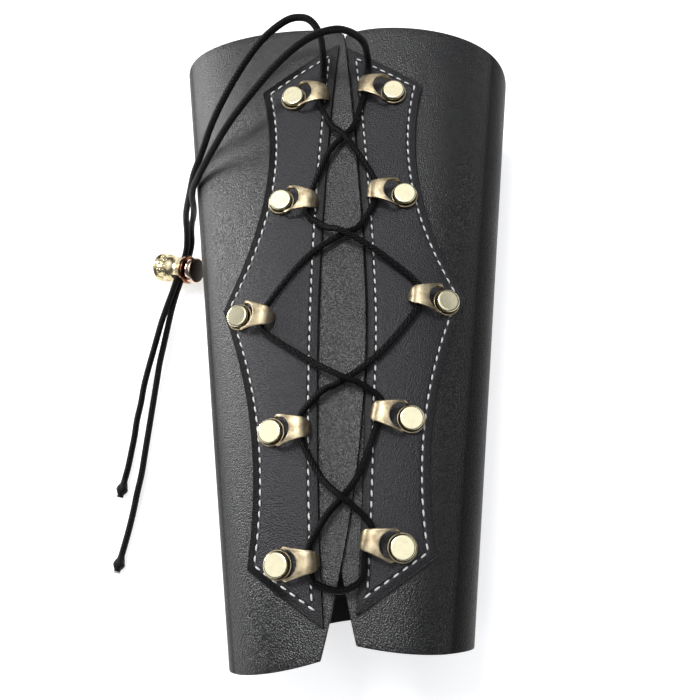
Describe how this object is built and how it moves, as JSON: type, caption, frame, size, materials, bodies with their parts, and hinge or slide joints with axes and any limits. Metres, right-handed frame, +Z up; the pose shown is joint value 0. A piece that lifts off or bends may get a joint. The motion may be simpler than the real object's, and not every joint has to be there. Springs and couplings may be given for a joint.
{
  "type": "archery arm guard",
  "caption": "Laced black leather archery arm guard: rolled tapered sleeve with an overlapping slit, stitched panels, brass lace loops on rivets, black elastic cord and a gold cord lock",
  "frame": {"origin": "on the surface that the guard lies on, under the middle of its length, in the middle of its width", "axes": "+Y along the forearm towards the elbow, +Z up from the resting surface through the laced slit, +X to the right seen from above with the elbow end away"},
  "size_m": [0.1795, 0.2518, 0.0998],
  "materials": {
    "leather": "fine pebble grain, soft sheen",
    "antique_brass": "brushed antique brass plating",
    "rivet_gold": "smooth pale gold plating",
    "cord": "braided, matt",
    "lock_gold": "embossed, polished gold plating",
    "lock_rose": "polished rose gold plating",
    "spring_steel": "bright wire"
  },
  "bodies": {
    "guard": {"shell": "leather", "left_panel": "leather", "right_panel": "leather", "rivets": "rivet_gold", "rivet_backs": "rivet_gold", "laced_cord": "cord", "left_tail": "cord", "right_tail": "cord", "left_knot": "cord", "right_knot": "cord"},
    "left_loop_1": {"left_loop_1": "antique_brass"},
    "left_loop_2": {"left_loop_2": "antique_brass"},
    "left_loop_3": {"left_loop_3": "antique_brass"},
    "left_loop_4": {"left_loop_4": "antique_brass"},
    "left_loop_5": {"left_loop_5": "antique_brass"},
    "right_loop_1": {"right_loop_1": "antique_brass"},
    "right_loop_2": {"right_loop_2": "antique_brass"},
    "right_loop_3": {"right_loop_3": "antique_brass"},
    "right_loop_4": {"right_loop_4": "antique_brass"},
    "right_loop_5": {"right_loop_5": "antique_brass"},
    "cord_lock": {"lock_barrel": "lock_gold", "lock_spring": "spring_steel"},
    "plunger": {"lock_plunger": "lock_rose"}
  },
  "joints": [
    {"name": "left_loop_1_swivel", "type": "hinge", "parent": "guard", "child": "left_loop_1", "pos_m": [-0.01755, 0.08874, 0.07847], "axis": [-0.0627, 0.0063, 0.998], "range_deg": [-5, 5]},
    {"name": "left_loop_2_swivel", "type": "hinge", "parent": "guard", "child": "left_loop_2", "pos_m": [-0.02175, 0.04338, 0.07822], "axis": [-0.0956, 0.0039, 0.9954], "range_deg": [-5, 5]},
    {"name": "left_loop_3_swivel", "type": "hinge", "parent": "guard", "child": "left_loop_3", "pos_m": [-0.03701, -0.00099, 0.07416], "axis": [-0.3083, -0.0118, 0.9512], "range_deg": [-5, 5]},
    {"name": "left_loop_4_swivel", "type": "hinge", "parent": "guard", "child": "left_loop_4", "pos_m": [-0.02378, -0.04506, 0.07773], "axis": [-0.1614, -0.0037, 0.9869], "range_deg": [-5, 5]},
    {"name": "left_loop_5_swivel", "type": "hinge", "parent": "guard", "child": "left_loop_5", "pos_m": [-0.02061, -0.08933, 0.07801], "axis": [-0.1636, -0.0071, 0.9865], "range_deg": [-5, 5]},
    {"name": "right_loop_1_swivel", "type": "hinge", "parent": "guard", "child": "right_loop_1", "pos_m": [0.02175, 0.09026, 0.07621], "axis": [0.0596, 0.0024, 0.9982], "range_deg": [-5, 5]},
    {"name": "right_loop_2_swivel", "type": "hinge", "parent": "guard", "child": "right_loop_2", "pos_m": [0.02474, 0.04473, 0.07588], "axis": [0.0961, 0.0006, 0.9954], "range_deg": [-5, 5]},
    {"name": "right_loop_3_swivel", "type": "hinge", "parent": "guard", "child": "right_loop_3", "pos_m": [0.03856, 0.00239, 0.07204], "axis": [0.299, -0.0162, 0.9541], "range_deg": [-5, 5]},
    {"name": "right_loop_4_swivel", "type": "hinge", "parent": "guard", "child": "right_loop_4", "pos_m": [0.02443, -0.04124, 0.07562], "axis": [0.1476, -0.0022, 0.989], "range_deg": [-5, 5]},
    {"name": "right_loop_5_swivel", "type": "hinge", "parent": "guard", "child": "right_loop_5", "pos_m": [0.02018, -0.08428, 0.07624], "axis": [0.128, -0.0006, 0.9918], "range_deg": [-5, 5]},
    {"name": "cord_lock_slide", "type": "slide", "parent": "guard", "child": "cord_lock", "axis": [-0.2588, -0.9659, 0], "range_m": [-0.003, 0.007]},
    {"name": "plunger_press", "type": "slide", "parent": "cord_lock", "child": "plunger", "axis": [-0.9285, 0.2488, -0.2756], "range_m": [0, 0.0014], "stiffness_N_per_m": 400, "springref_m": -0.002, "deforming": ["lock_spring"]}
  ]
}
